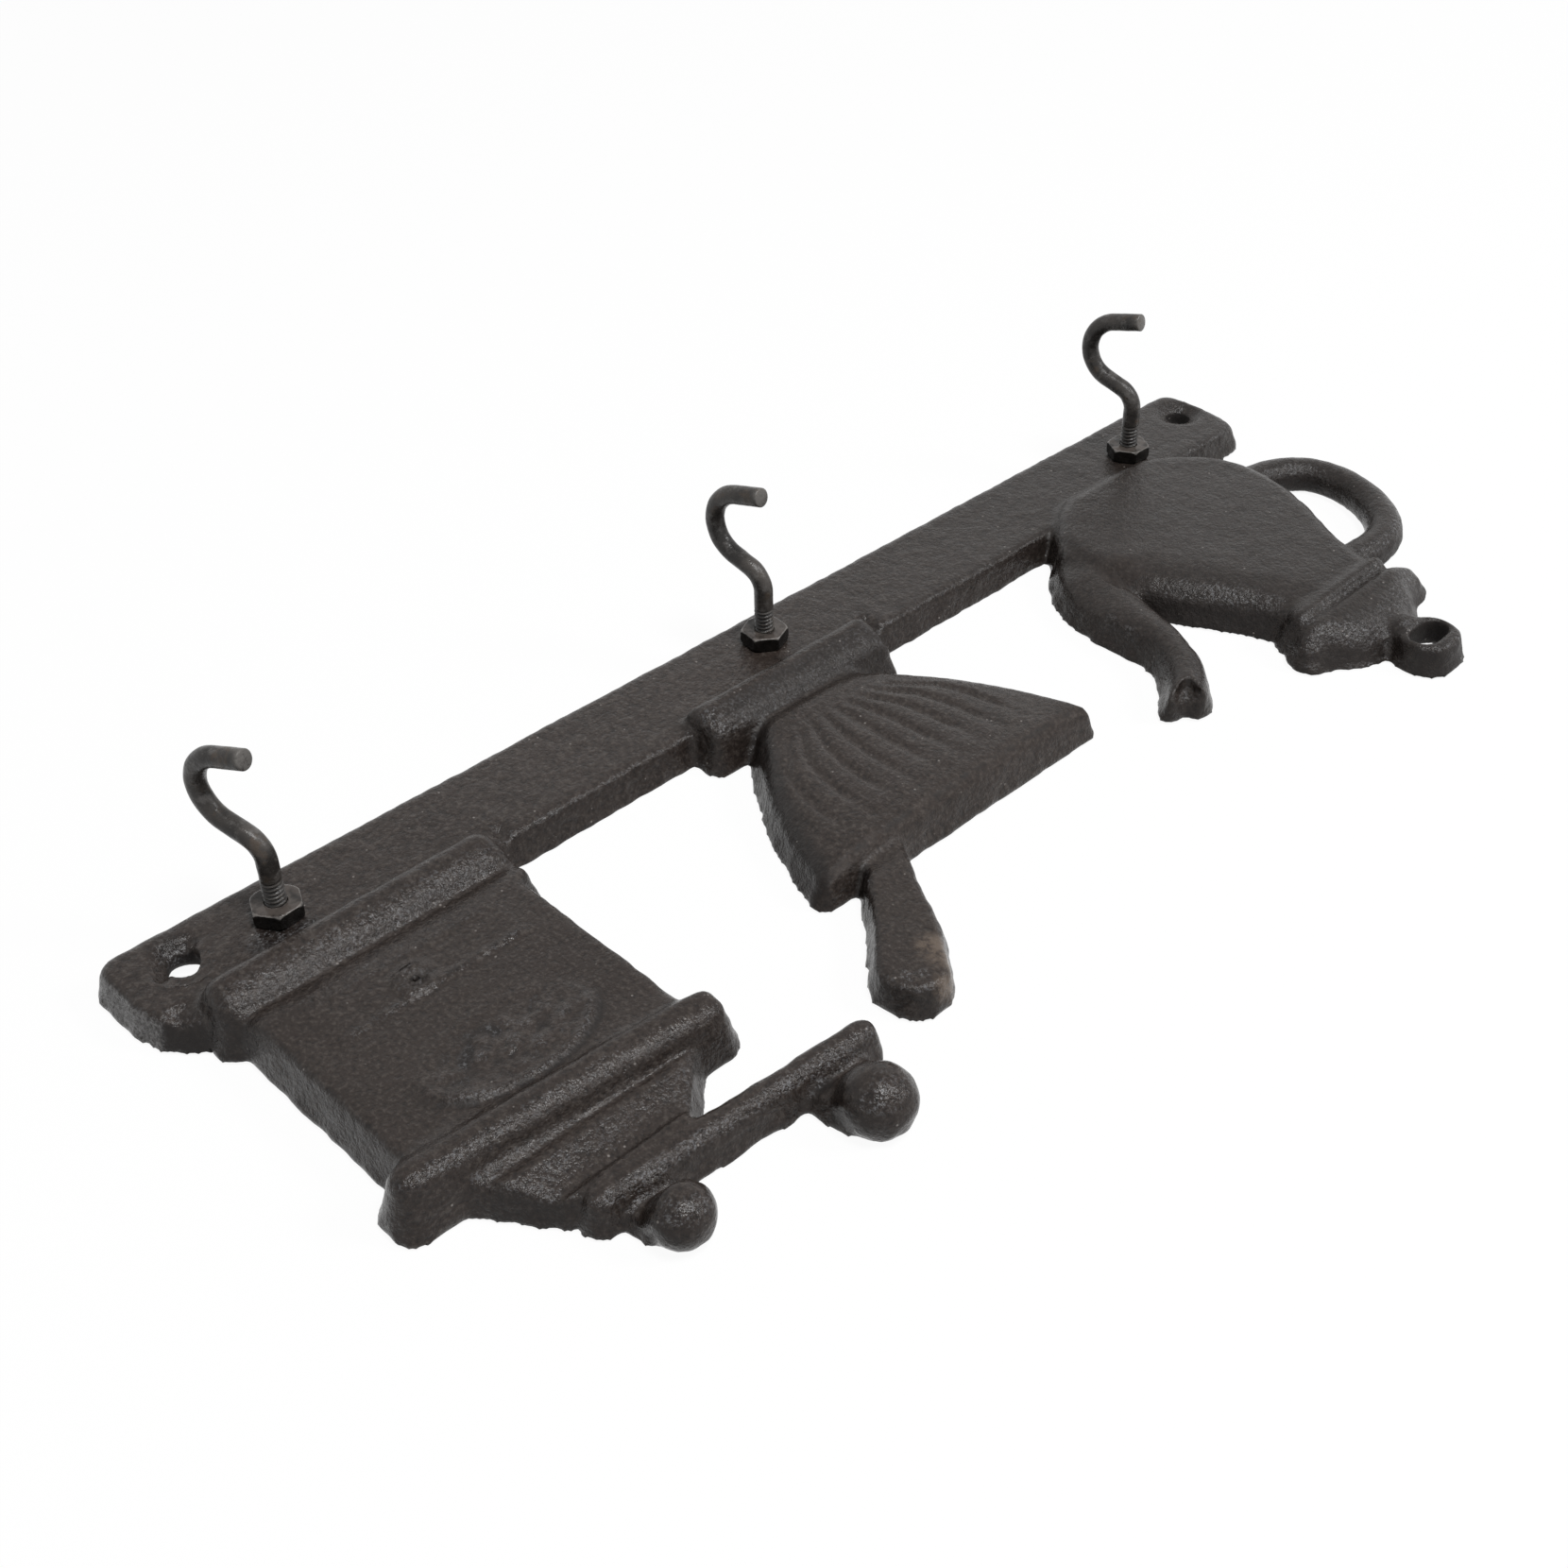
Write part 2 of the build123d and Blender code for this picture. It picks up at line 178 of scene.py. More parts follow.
# The studio, in metres and watts: the sheet, lamps as (place, width, power) with one aim, and the camera,
# whose place, lens and sensor are in millimetres
TABLE_HALF, TABLE_GAP = 3.0, 0.0003
LAMP_AIM = (0.0, 0.0, 0.03)
LAMPS = {"over": ((0.0, -1.40, 0.55), 0.5, 16.0), "front_right": ((-0.95, -1.08, 1.04), 0.48, 9.0),
         "behind": ((-0.5, 1.2, 0.6), 1.2, 5.0)}
WORLD_LIGHT, PAPER_GLOW = 0.15, 0.94
LENS, SENSOR, CLIP_START = 45.55, 36.0, 0.01
CAMERA_PLACE = (211.98, -213.07, 226.61)
CAMERA_RIGHT = (-0.71867, 0.01290, 0.69523)
CAMERA_DOWN = (0.43548, 0.78781, 0.43555)
CAMERA_AHEAD = (-0.54210, 0.61578, -0.57180)


def link(obj):
    bpy.context.scene.collection.objects.link(obj)
    return obj


def new_mesh_object(name, verts, faces):
    mesh = bpy.data.meshes.new(name)
    mesh.from_pydata([tuple(v) for v in verts], [], faces)
    mesh.validate()
    mesh.polygons.foreach_set("use_smooth", [True] * len(mesh.polygons))
    return link(bpy.data.objects.new(name, mesh))


def remeshed(node, name, voxel):
    """A copy of a CAD node as an even skin of small faces with softened edges."""
    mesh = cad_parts[node].data.copy()
    bm = bmesh.new()
    bm.from_mesh(mesh)
    bmesh.ops.remove_doubles(bm, verts=bm.verts, dist=MERGE)
    bm.to_mesh(mesh)
    bm.free()
    obj = link(bpy.data.objects.new(name, mesh))
    mesh.materials.clear()
    skin = obj.modifiers.new("skin", "REMESH")
    skin.mode = "VOXEL"
    skin.voxel_size = voxel * MM
    skin.use_smooth_shade = True
    soft = obj.modifiers.new("soft", "SMOOTH")
    soft.factor = 0.5
    soft.iterations = EDGE_ROUNDS
    done = bpy.data.meshes.new_from_object(obj.evaluated_get(bpy.context.evaluated_depsgraph_get()))
    obj.modifiers.clear()
    obj.data = done
    done.name = name
    return obj


def read_points(mesh):
    """A mesh's points in millimetres, and their normals."""
    n = len(mesh.vertices)
    co = np.empty(n * 3, np.float32)
    no = np.empty(n * 3, np.float32)
    mesh.vertices.foreach_get("co", co)
    mesh.vertices.foreach_get("normal", no)
    return co.reshape(-1, 3).astype(float) / MM, no.reshape(-1, 3).astype(float)


def write_points(mesh, points):
    mesh.vertices.foreach_set("co", (points * MM).astype(np.float32).ravel())
    mesh.update()


def float_layer(mesh, name, values):
    layer = mesh.attributes.new(name, "FLOAT", "POINT")
    layer.data.foreach_set("value", np.asarray(values, np.float32))


def lumps(points, size, shift):
    """Smooth noise between -1 and 1 with bumps about size mm apart. The shift picks the pattern."""
    scale = 1.0 / size
    offset = Vector((shift, 0.37 * shift, -0.61 * shift))
    return np.array([noise.noise(Vector(p) * scale + offset) for p in points])


def step(low, high, value):
    """A smooth rise from 0 at low to 1 at high."""
    t = np.clip((value - low) / (high - low), 0, 1)
    return t * t * (3 - 2 * t)


def within(value, low, high, fade):
    """1 between low and high, and 0 outside them."""
    return step(low - fade, low + fade, value) * (1 - step(high - fade, high + fade, value))


def zone(x, z, box):
    """1 inside a box seen from the front, and 0 outside it."""
    wide, tall = box
    return within(x, *wide) * within(z, *tall)


def hump(value, middle, width, power=2):
    """1 at the middle, and 0 a few widths from it."""
    return np.exp(-((value - middle) / width) ** power)


def spots(points, places):
    """How near each point lies to a list of places, from 0 to 1."""
    best = np.zeros(len(points))
    for x, y, z, r in places:
        d = np.linalg.norm(points - np.array((x, y, z)), axis=1)
        best = np.maximum(best, 1 - step(0.45 * r, 1.25 * r, d))
    return best


def along(table, value):
    return np.interp(value, [row[0] for row in table], [row[1] for row in table])


def turned(x, z, start, way):
    """Distances along a slanted line and to its side."""
    across, up = x - start[0], z - start[1]
    return across * way[0] + up * way[1], up * way[0] - across * way[1]


def path_distance(path, x, z):
    """Distance from a bent line, and the line's half width at the nearest place."""
    best = np.full(len(x), 1e9)
    half = np.ones(len(x))
    for (ax, az, ah), (bx, bz, bh) in zip(path, path[1:]):
        dx, dz = bx - ax, bz - az
        t = np.clip(((x - ax) * dx + (z - az) * dz) / (dx * dx + dz * dz), 0, 1)
        d = np.hypot(x - ax - t * dx, z - az - t * dz)
        half = np.where(d < best, ah + t * (bh - ah), half)
        best = np.minimum(best, d)
    return best, half


def soften(mesh, points, share, rounds):
    """Move points towards the mean of their neighbours, by a share of 0 to 1 for each."""
    ends = np.empty(len(mesh.edges) * 2, np.int32)
    mesh.edges.foreach_get("vertices", ends)
    first, second = ends[0::2], ends[1::2]
    count = np.bincount(ends, minlength=len(points)).astype(float)
    for _ in range(rounds):
        total = np.zeros_like(points)
        for k in range(3):
            total[:, k] = np.bincount(first, points[second, k], len(points))
            total[:, k] += np.bincount(second, points[first, k], len(points))
        points = points + (total / count[:, None] - points) * (0.5 * share)[:, None]
    return points


def lower(points, drop, height):
    """Lower the front of a form by drop mm, and its sides in proportion."""
    points[:, 1] *= 1 - np.clip(drop / height, 0, 0.8)


def crown_bowl(points, x, y, z):
    """The bowl is level in the middle and falls to its sides, most on the grinder's side."""
    half = along(BOWL_HALF, z)
    level = (np.abs(x - BOWL_X) < half - 5.0) & (z > 26) & (z < 54) & (y < -7.2)
    points[:, 1] = np.where(level, -BOWL_FACE, points[:, 1])
    bowl = (np.abs(x - BOWL_X) < 38) * within(z, 20, 60, 1.5) * (y < -0.2)
    share = (x - BOWL_X - 2.0) / half
    fall = BOWL_FALL * np.clip(np.abs(share), 0, 1.1) ** 2.5
    fall = fall + BOWL_NEAR_FALL * np.clip((share - 0.6) / 0.4, 0, 1) ** 2
    lower(points, bowl * fall, BOWL_FACE)


def shape_rail_ends(points, x, y, z):
    """The left upper corner is squarer than a plain round, and the right one is worn uneven."""
    for end_x, sign in RAIL_ENDS:
        u, v = (x - end_x) * sign + CORNER_IN, z - CORNER_UP
        r = np.hypot(u, v) + TINY
        if sign > 0:
            push = along(WORN_CORNER, np.degrees(np.arctan2(v, u)))
        else:
            push = (np.abs(u / r) ** 4 + np.abs(v / r) ** 4) ** -0.25 - 1
        push = push * (u > 0) * (v > 0) * step(6.5, 9.0, r) * (r < 10.4) * (y > -6.3)
        points[:, 0] += push * u * sign
        points[:, 2] += push * v


def slope_grinder(points, x, y, z):
    """The hopper, the cornice and the base bead are worn to slopes towards their upper edges."""
    hopper = within(x, 76, 127, 1.0) * step(67.5, 69.5, z) * (1 - step(77.0, 78.4, z)) * (y > -7.2)
    lower(points, hopper * HOPPER_FALL * step(66.0, 78.0, z), HOPPER_FACE)
    cornice = zone(x, z, CORNICE)
    lower(points, cornice * CORNICE_FALL * np.clip((z - 63.0) / 6.0, 0, 1) ** 1.4, MOULDING_FACE)
    bead = zone(x, z, BEAD)
    bead_ends = np.maximum(step(127.0, 133.5, x), 1 - step(70.5, 75.0, x))
    lower(points, bead * BEAD_FALL * step(12.5, 21.0, z), MOULDING_FACE)
    lower(points, bead * BEAD_END_FALL * bead_ends ** 1.5, MOULDING_FACE)


def slope_foot(points, x, z):
    """The mortar's foot slopes to its upper edge and to its far end, which is cut back."""
    foot = zone(x, z, FOOT)
    lower(points, foot * FOOT_FALL * step(11.5, 20.5, z), MOULDING_FACE)
    lower(points, foot * FOOT_END_FALL * (1 - step(-16.5, -10.5, x)), MOULDING_FACE)
    points[:, 0] += FOOT_CUT * (1 - step(-16.5, -11.0, x)) * zone(x, z, FOOT_FAR_END)


def dome_lid(points, x, z):
    """The lid is a low dome, and its far end reaches past the collar."""
    ring = np.hypot(x - RING_X, z - RING_Z)
    lid = within(x, -112, -58, 1.0) * step(69.0, 70.0, z) * step(5.6, 8.2, ring)
    away = np.abs(x - LID_X)
    deep = np.clip((along(LID_EDGE, away) - z) / (9.0 - 0.15 * away), 0, 1)
    ends = np.clip((20.0 - away) / 8.0, 0, 1)
    rise = np.minimum(0.16 + 0.84 * (1 - (1 - deep) ** 1.8), 0.28 + 0.72 * (1 - (1 - ends) ** 2))
    lower(points, lid * LID_FACE * (1 - rise), LID_FACE)
    far = 1 - step(-106.0, -97.0, x)
    points[:, 0] -= LID_REACH * far * zone(x, z, LID_FAR_END)
    points[:, 0] += COLLAR_CUT * far * zone(x, z, COLLAR_FAR_END) * (x < -99)


def round_pot(points, x, z):
    """The teapot's body falls away towards the spout's side."""
    inset = (POT_X + along(POT_HALF, z) - x) * 0.9
    pot = within(z, 34.0, 65.0, 2.5) * step(-1.2, -0.6, inset) * (x > -90)
    lower(points, pot * POT_FALL * np.clip(1 - inset / 12.0, 0, 1) ** 2, POT_FACE)


def slope_crank(points, x, z):
    """The crank's arm slopes from its middle line to its upper edge."""
    middle = 83.8 - (x - 61.6) / 47.6 * 2.9
    crank = zone(x, z, CRANK)
    lower(points, crank * CRANK_FALL * np.clip((z - middle + 0.8) / 3.1, 0, 1.2) ** 2, CRANK_FACE)


def wear_panel(points, panel, x, y, z):
    """The drawer's frame and the badge are worn almost level with the panel."""
    drawer = panel * within(z, 21.6, 34.0, 0.6) * step(3.4, 4.4, np.hypot(x - KNOB_X, z - KNOB_Z))
    points[:, 1] = np.where(y < -PANEL_FACE, points[:, 1] + drawer * 0.6 * (-PANEL_FACE - y), points[:, 1])
    oval = np.hypot((x - BADGE_X) / 15.0, (z - BADGE_Z + 0.2) / 8.3)
    badge = (oval < 1.15) & (y < -7.9) & (x > 80)
    points[:, 1] = np.where(badge, -PANEL_FACE + (points[:, 1] + PANEL_FACE) * 0.12, points[:, 1])


def shape_spout(points, x, z):
    """The spout is rounded across, and its mouth has two lips with a hollow between them."""
    from_line, half = path_distance(SPOUT, x, z)
    spout = step(-1.5, 1.0, x - POT_X - along(POT_HALF, z)) * (from_line < 11) * (z > 19)
    lower(points, spout * SPOUT_FALL * np.clip(from_line / half, 0, 1.1) ** 2, SPOUT_FACE)
    lip = SPOUT[-1][2]
    reach, side = turned(x, z, SPOUT[-1], SPOUT_WAY)
    mouth = step(-5.0, -0.6, reach) * (reach < 3.0) * (np.abs(side) < 8.0)
    high = np.clip(-points[:, 1] / 6.0, 0, 1)
    pull = 1.9 - 2.5 * hump(side, 0, 1.7) * (0.55 + 0.45 * high)
    pull -= 1.5 * np.clip(np.abs(side) / lip, 0, 1.1) ** 4
    pull -= 0.7 * high ** 3 + 1.3 * np.clip(side / lip, 0, 1.1) ** 2
    flare = 0.10 * side
    points[:, 0] += mouth * (pull * SPOUT_WAY[0] - flare * SPOUT_WAY[1])
    points[:, 2] += mouth * (pull * SPOUT_WAY[1] + flare * SPOUT_WAY[0])


def widen_pestle(points, x, z):
    """The pestle swells on one side at its middle, and on the other near its end."""
    run, side = turned(x, z, PESTLE_START, PESTLE_WAY)
    middle, end = (size * hump(run, place, width) for size, place, width in PESTLE_SWELLS)
    wide = np.where(side > 0, middle, end)
    wide *= np.clip(side / 5.0, -1, 1) * (z > 57.5) * (np.abs(side) < 8.5) * (x > 20) * (x < 58)
    points[:, 0] -= wide * PESTLE_WAY[1]
    points[:, 2] += wide * PESTLE_WAY[0]


def shape_ring(points, normals, x, z):
    """The hole through the lid's ring is lower than it is wide."""
    across, up = x - RING_X, z - RING_Z
    inner = (np.hypot(across, up) < 5.2) * (normals[:, 0] * across + normals[:, 2] * up < 0)
    points[:, 0] += inner * RING_WIDEN * across
    points[:, 2] -= inner * RING_LOWER * up


def swell_balls(points, x, z):
    for ball_x, ball_z, radius in CRANK_BALLS:
        near = 1 - step(radius, 1.25 * radius, np.hypot(x - ball_x, z - ball_z))
        points[:, 0] += BALL_SWELL * near * (x - ball_x)
        points[:, 2] += BALL_SWELL * near * (z - ball_z)


def place_knob(points, panel, x, y, z):
    """The drawer and its knob sit a little higher than drawn, and the knob is worn low."""
    points[:, 2] += panel * DRAWER_RAISE * step(20.6, 24.0, z) * (1 - step(33.0, 39.0, z))
    knob = hump(np.hypot(x - KNOB_X, z - KNOB_Z), 0, 5.0, 4)
    points[:, 0] += panel * knob * KNOB_SHIFT
    proud = (knob > 0.5) & (y < -KNOB_BASE)
    points[:, 1] = np.where(proud, -KNOB_BASE + (points[:, 1] + KNOB_BASE) * 0.6, points[:, 1])


def dish_holes(points, x, y, z):
    """The left hole's dish is shallow. The right one is dished below only, and its near edge leans out."""
    for hole_x in (HOLE_X, -HOLE_X):
        right = hole_x > 0
        off_x = x - hole_x
        r = np.hypot(off_x, z) + TINY
        pull = (0.1 if right else 0.3) * (1 - step(2.9, 4.4, r))
        keep = 0.06 + 0.90 * step(-0.6, 2.6, -z + 0.25 * off_x) if right else 0.60
        dish = (r < 6.2) & (y < -2.6)
        points[:, 1] = np.where(dish, -RAIL_FACE + (points[:, 1] + RAIL_FACE) * keep, points[:, 1])
        points[:, 0] -= off_x / r * pull
        points[:, 2] -= z / r * pull
        if right:
            nearer = step(-2.0, 1.5, 0.69 * off_x + 0.73 * z)
            lean = np.clip(-y / RAIL_FACE, 0, 1) * (1 - step(3.4, 6.8, r)) * nearer
            points[:, 0] += HOLE_LEAN[0] * lean
            points[:, 2] += HOLE_LEAN[1] * lean


def shape_forms(points, normals):
    """The forms that the casting shows beyond its plain solid: slopes, crowns and shoulders."""
    x, y, z = points.T.copy()
    panel = within(x, 82, 121, 2.0) * step(0.6, 0.9, -normals[:, 1]) * (y < RAISED_Y)
    crown_bowl(points, x, y, z)
    shape_rail_ends(points, x, y, z)
    slope_grinder(points, x, y, z)
    slope_foot(points, x, z)
    dome_lid(points, x, z)
    round_pot(points, x, z)
    slope_crank(points, x, z)
    wear_panel(points, panel, x, y, z)
    shape_spout(points, x, z)
    widen_pestle(points, x, z)
    shape_ring(points, normals, x, z)
    swell_balls(points, x, z)
    place_knob(points, panel, x, y, z)
    dish_holes(points, x, y, z)
    return points


def soft_places(points):
    """Where the pattern was worn soft: the lid and its ring, the crank, the cornice and the spout's mouth."""
    x, y, z = points.T
    lid = within(x, -112, -50, 2.0) * step(66.0, 70.0, z)
    crank = within(x, 58, 116, 2.0) * step(76.0, 79.0, z) * 0.6
    cornice = within(x, 66, 136, 2.0) * within(z, 58.0, 71.0, 1.5) * 0.35
    spout = within(x, -62, -34, 2.0) * step(50.0, 58.0, z) * 0.5
    return np.maximum.reduce((lid, crank, cornice, spout, spots(points, SOFT_CORNERS))) * (y < -0.8)


def lid_ends(points):
    """The two ends of the lid, which are worn softest."""
    x, _, z = points.T
    ends = np.maximum(1 - step(-104.0, -99.0, x), step(-72.0, -66.0, x))
    return ends * within(x, -114, -52, 1.0) * step(66.5, 68.5, z)


def creases(points):
    """Inner corners that the casting fills: by the base bead, the cornice, the lid and the mortar's foot."""
    x, y, z = points.T
    grinder = within(x, 71, 134, 1.0) * np.maximum(within(z, 19.6, 23.0, 0.8), within(z, 57.5, 61.0, 0.8))
    ring = np.hypot(x - RING_X, z - RING_Z)
    lid = within(x, -112, -60, 1.0) * within(z, 62.0, 75.0, 1.0) * step(7.0, 9.0, ring)
    foot = within(x, -18, 36, 1.0) * within(z, 18.8, 23.0, 0.8)
    return np.maximum.reduce((grinder, 0.9 * lid, foot)) * (y < -1.5)


def flutes(points, front):
    """Thin grooves that fan out from the bowl's foot, with low rounded lobes between them."""
    x, _, z = points.T
    gap = along(FLUTE_GAPS, z)
    lane = (x - FLUTE_X) / gap
    across = np.abs(lane - np.round(lane))
    used = 0.8 * (lane > -4.4) * (lane < 5.3) * step(3.0, 5.5, along(BOWL_HALF, z) - np.abs(x - BOWL_X))
    groove = hump(across * gap, 0, 0.48) * step(25.5, 28.5, z) * (1 - step(43.0, 50.5, z))
    crown = 1 - (1 - 2 * across) ** 2
    end = 52.2 - 1.8 * (1 - 2 * across) ** 2
    lobe = crown * step(27.0, 31.0, z) * (1 - step(end - 0.9, end + 0.5, z))
    return used * front * (FLUTE_LOBE * lobe - FLUTE_GROOVE * groove)


def panel_lines(points, front):
    """Faint raised lines under the drawer, and the drawer's worn top edge."""
    x, _, z = points.T
    line = 0.36 * hump(z - 0.4 * step(106, 112, x), 23.4, 0.6) * within(x, 87, 119, 2.0)
    line += 0.30 * hump(z, 25.7, 0.6) * within(x, 88, 118, 2.0)
    line += 0.42 * hump(z - 0.02 * (x - PANEL_X), 34.2, 0.6) * within(x, 83, 119, 1.0)
    return line * front * (0.55 + 0.45 * lumps(points, 3.5, 91.3))


def lid_bands(points, normals):
    """Two raised bands with a groove between them, where the lid sits on the pot."""
    x, _, z = points.T
    up = z - 68.9 - 0.02 * (x + 96.0)
    share = 0.35 + 0.65 * (1 - step(-88.0, -76.0, x))
    lid = within(x, -110, -66, 1.0) * step(0.2, 0.5, -normals[:, 1]) * share
    return lid * (0.45 * hump(up, -1.9, 1.2) + 0.45 * hump(up, 2.0, 1.3) - 0.75 * hump(up, 0, 0.8))


def find_places(points, normals):
    """Where the small raised forms lie on the skin, mostly from 0 to 1."""
    x, y, z = points.T
    raised = y < RAISED_Y
    at = SimpleNamespace(raised=raised)
    at.front = step(0.75, 0.97, -normals[:, 1])
    at.slope = 1 - step(0.45, 0.97, np.abs(normals[:, 1]))
    at.back = step(0.9, 0.98, normals[:, 1]) * (y > -0.6)
    at.bowl = raised * (np.abs(x - BOWL_X) < 37) * (z > 22) * (z < 58)
    at.panel = raised * (np.abs(x - PANEL_X) < 22) * (z > 21) * (z < 40)
    at.badge = raised * hump(np.hypot((x - BADGE_X) / 12.0, (z - BADGE_Z + 0.1) / 6.0), 0, 1, 6)
    at.oval = np.hypot((x - BADGE_X) / 14.6, (z - BADGE_Z) / 8.2)
    at.tall = (z - BADGE_Z) / 8.2
    at.edge = step(-0.35, 0.5, at.tall + 0.06 * lumps(points, 4.0, 81.7))
    at.rim = raised * hump(at.oval, 0.97, 0.07) * (0.12 + 0.88 * at.edge)
    at.blotch = lumps(points, 2.4, 61.1)
    from_knob = np.hypot(x - WORN_KNOB_X, z - WORN_KNOB_Z)
    at.knob = raised * hump(from_knob, 0, 3.4, 4)
    at.knob_ring = raised * hump(from_knob, 2.5, 0.9)
    at.hollow = raised * hump(np.hypot((x - 103.0) / 1.9, (z - 31.8) / 1.3), 0, 1)
    return at


def rough_cast(points, normals, at):
    """The skin with its cast lumps, flutes, lines, badge and knob, and a ragged edge along the wall."""
    rough = 0.10 * at.slope
    move = 0.10 * lumps(points, 17.0, 3.1)
    move += (0.08 + rough) * lumps(points, 5.2, 11.7) + (0.07 + rough) * lumps(points, 2.1, 23.9)
    move += at.bowl * flutes(points, at.front) + at.panel * panel_lines(points, at.front)
    plate = at.raised * (1 - step(0.94, 1.07, at.oval + 0.03 * lumps(points, 2.4, 83.3)))
    move += 0.5 * plate * step(-0.9, 0.8, at.tall) + 0.42 * at.rim * (1 + 0.8 * lumps(points, 1.8, 87.1))
    move += at.badge * 0.85 * at.blotch * (0.55 + 0.45 * at.edge)
    ring = at.knob_ring * (1 + 0.7 * lumps(points, 1.9, 71.9))
    move += 0.40 * ring + 0.25 * at.knob * lumps(points, 2.2, 73.1) - 1.2 * at.hollow
    move += lid_bands(points, normals)
    move *= 1 - 0.9 * at.back
    by_wall = 1 - step(0.4, 2.6, -points[:, 1])
    ragged = lumps(points * np.array((1, 0.25, 1)), 3.2, 41.3)
    flat = normals * np.array((1, 0, 1))
    points = points + normals * move[:, None] + flat * (by_wall * at.slope * (0.12 + 0.30 * ragged))[:, None]
    points[:, 1] = np.minimum(points[:, 1], 0.0)
    return points


def find_shading(points, normals, at):
    """Where shade and glints are painted into the colour, and where the paint is duller, added to the places
    found before.
    """
    x, y, z = points.T
    at.tilt = np.degrees(np.arccos(np.clip(-normals[:, 1], -1, 1)))
    at.steep = step(25, 75, at.tilt)
    ahead = step(-0.1, 0.2, -normals[:, 1])
    at.bowl_side = zone(x, z, BOWL_SIDES)
    at.remote = (1 - step(-95.0, 30.0, x)) * ahead
    at.foot_slope = zone(x, z, FOOT_SLOPE) * step(5, 14, at.tilt) * ahead
    at.foot_slope *= 0.62 - 0.35 * step(20.0, 28.0, x)
    at.dots = 0.75 * at.bowl_side * ahead * hump(z, 55.9, 0.55) * step(-0.25, 0.2, lumps(points, 2.6, 95.5))
    at.under = at.raised * hump(at.oval, 1.08, 0.07) * at.edge * step(-0.5, 0.1, lumps(points, 2.2, 97.7))
    at.sunk = at.badge * step(0.02, 0.30, -at.blotch)
    at.dark = spots(points, PAINTED_SHADE_SPOTS)
    at.quiet = spots(points, QUIET)
    at.calm = at.bowl_side * hump(z, 56.3, 1.3) * ahead
    from_hole = np.minimum(np.hypot(x - HOLE_X, z), np.hypot(x + HOLE_X, z))
    at.mouths = (from_hole < 4.3) * (y > -5.2) * step(45, 65, at.tilt)
    at.bend = (x > 126.5) * within(z, 8.5, 16.0, 0.8) * step(0.30, 0.50, normals[:, 2]) * at.steep
    at.pot_wall = at.steep * (x < -50) * (z > 15) * step(0.1, 0.4, normals[:, 2])
    at.ring_hole = np.hypot(x - RING_X, z - RING_Z) < 4.6
    # The rail's end wall, which gets painted light and painted glints
    at.rail_end = step(131.5, 133.5, x) * step(20, 40, at.tilt) * step(0.70, 0.85, normals[:, 0])


def shade_values(points, normals, at):
    """Painted shade, darkening the colour: walls that face up the wall, slopes that face away from the light,
    deep corners, holes, hollows and crevices, and the far end; the rail's smears are darkened too.
    """
    x, _, z = points.T
    wall = 0.55 + 0.30 * (x < -50) * (z > 15) - 0.40 * at.bowl_side - 0.30 * (z < 14.8)
    wall = wall - 0.25 * step(78.0, 79.5, z) * (x > 50) - 0.40 * zone(x, z, CORNICE_WALL)
    walls = at.steep * np.where(normals[:, 2] > 0.1, wall, 0.25 + 0.45 * at.bowl_side)
    dusk = within(at.tilt, 14, 70, 8) * step(0.15, 0.5, normals[:, 0]) * (0.25 + 0.50 * at.bowl_side)
    return np.maximum.reduce((walls, dusk, 0.58 * at.remote, at.foot_slope, at.dots, at.hollow, at.under,
                              at.sunk, at.dark, at.bend, 0.45 * at.quiet, 0.65 * spots(points, RAIL_SMEAR_SPOTS),
                              at.ring_hole * at.steep, at.mouths))


def cave_values(at):
    """Where the paint is dull because little light gets in."""
    pit = at.raised * np.maximum(at.under, at.sunk)
    return np.maximum.reduce((at.mouths, 0.9 * at.dark, 0.5 * at.bend, 0.4 * at.pot_wall, 0.12 * at.remote,
                              0.35 * at.foot_slope, 0.7 * pit, at.ring_hole * step(40, 65, at.tilt),
                              0.75 * at.calm, 0.9 * at.quiet, at.hollow))


def vigor(x, z, bowl_side):
    """How strongly each part of the casting shows painted glints on its slopes. Later rows go over earlier
    ones.
    """
    grinder = x > GRINDER_X
    share = np.full(len(x), 0.65)
    for part, value in ((grinder & (z < 21.5), 0.6),
                        (grinder & (z > 58.0), 1.0),
                        (grinder & (z > 68.5) & (z < 79.5), 0.45 + 0.65 * step(92.0, 117.0, x)),
                        ((bowl_side > 0.5) & (z > 24.0), 0.3),
                        ((x < -50) & (x > -70) & (z < 42.0), 0.2),
                        ((np.abs(x - 8.0) < 26) & (z > 8.0) & (z < 21.0), 0.45 + 0.40 * step(19.0, 29.0, x)),
                        ((x < -60) & (z > 44.0), 0.9),
                        (grinder & (z > 65.0) & (z < 69.5), 0.12 + 0.6 * step(98.0, 120.0, x))):
        share = np.where(part, value, share)
    return share


def painted_glint_values(points, normals, at):
    """Where painted glints as bright flecks, and painted shade in dark pits, go: slopes towards the light,
    worn relief and marked spots.
    """
    x, _, z = points.T
    glint = within(at.tilt, 11, 58, 7) * step(0.02, 0.35, normals[:, 2] + 0.25 * normals[:, 0])
    glint *= (1 - 0.9 * at.calm) * (1 - at.quiet)
    lines = np.clip(at.panel * panel_lines(points, at.front) / 0.30, 0, 1) * 0.7
    stamped = at.badge * 0.9 * step(0.1, 0.5, np.abs(at.blotch))
    return np.maximum.reduce((glint * vigor(x, z, at.bowl_side), lines, 0.9 * at.rim * at.edge, 0.6 * at.knob,
                              stamped, 0.9 * spots(points, PAINTED_GLINT_SPOTS), at.rail_end))


